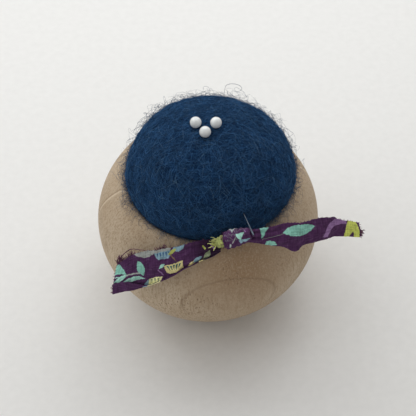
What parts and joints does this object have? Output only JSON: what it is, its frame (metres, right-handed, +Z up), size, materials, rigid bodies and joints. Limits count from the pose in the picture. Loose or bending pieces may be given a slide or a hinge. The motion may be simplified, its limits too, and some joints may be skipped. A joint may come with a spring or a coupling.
{
  "type": "pin cushion",
  "caption": "Felted wool ball seated in a turned wooden cup, tied round with a torn printed cotton strip, holding ball-headed pins and a needle.",
  "frame": {"origin": "centre of the flat face that the wooden ball stands on", "axes": "+Z up the ball's turning axis, -Y to the front, where the strip is knotted, +X to the right, along the strip's tails"},
  "size_m": [0.0884, 0.0768, 0.0789],
  "materials": {
    "wood": "unfinished, sanded, pale close-grained hardwood",
    "felt_blue": "needle-felted wool with a fuzzy surface",
    "core_wool": "undyed wool stuffing",
    "glue": "set clear glue",
    "printed_cotton": "torn printed plain-weave cotton with frayed edges",
    "pearl": "satin white",
    "steel": "polished"
  },
  "bodies": {
    "base": {"wooden_base": "wood", "glue_pad": "glue", "wool_core": "core_wool", "felt_cushion": "felt_blue", "ribbon_loop": "printed_cotton", "ribbon_knot": "printed_cotton", "ribbon_left_tail": "printed_cotton", "ribbon_right_tail": "printed_cotton"},
    "pin_left": {"pin_left_head": "pearl", "pin_left_shaft": "steel"},
    "pin_right": {"pin_right_head": "pearl", "pin_right_shaft": "steel"},
    "pin_front": {"pin_front_head": "pearl", "pin_front_shaft": "steel"},
    "needle": {"needle": "steel"}
  },
  "joints": [
    {"name": "pin_left_pull", "type": "slide", "parent": "base", "child": "pin_left", "axis": [-0.0349, 0.0262, 0.999], "range_m": [0, 0.031]},
    {"name": "pin_right_pull", "type": "slide", "parent": "base", "child": "pin_right", "axis": [0.0436, 0.0174, 0.9989], "range_m": [0, 0.031]},
    {"name": "pin_front_pull", "type": "slide", "parent": "base", "child": "pin_front", "axis": [-0.0087, -0.0523, 0.9986], "range_m": [0, 0.031]},
    {"name": "needle_pull", "type": "slide", "parent": "base", "child": "needle", "axis": [0.3603, -0.9207, -0.1501], "range_m": [0, 0.02]}
  ]
}
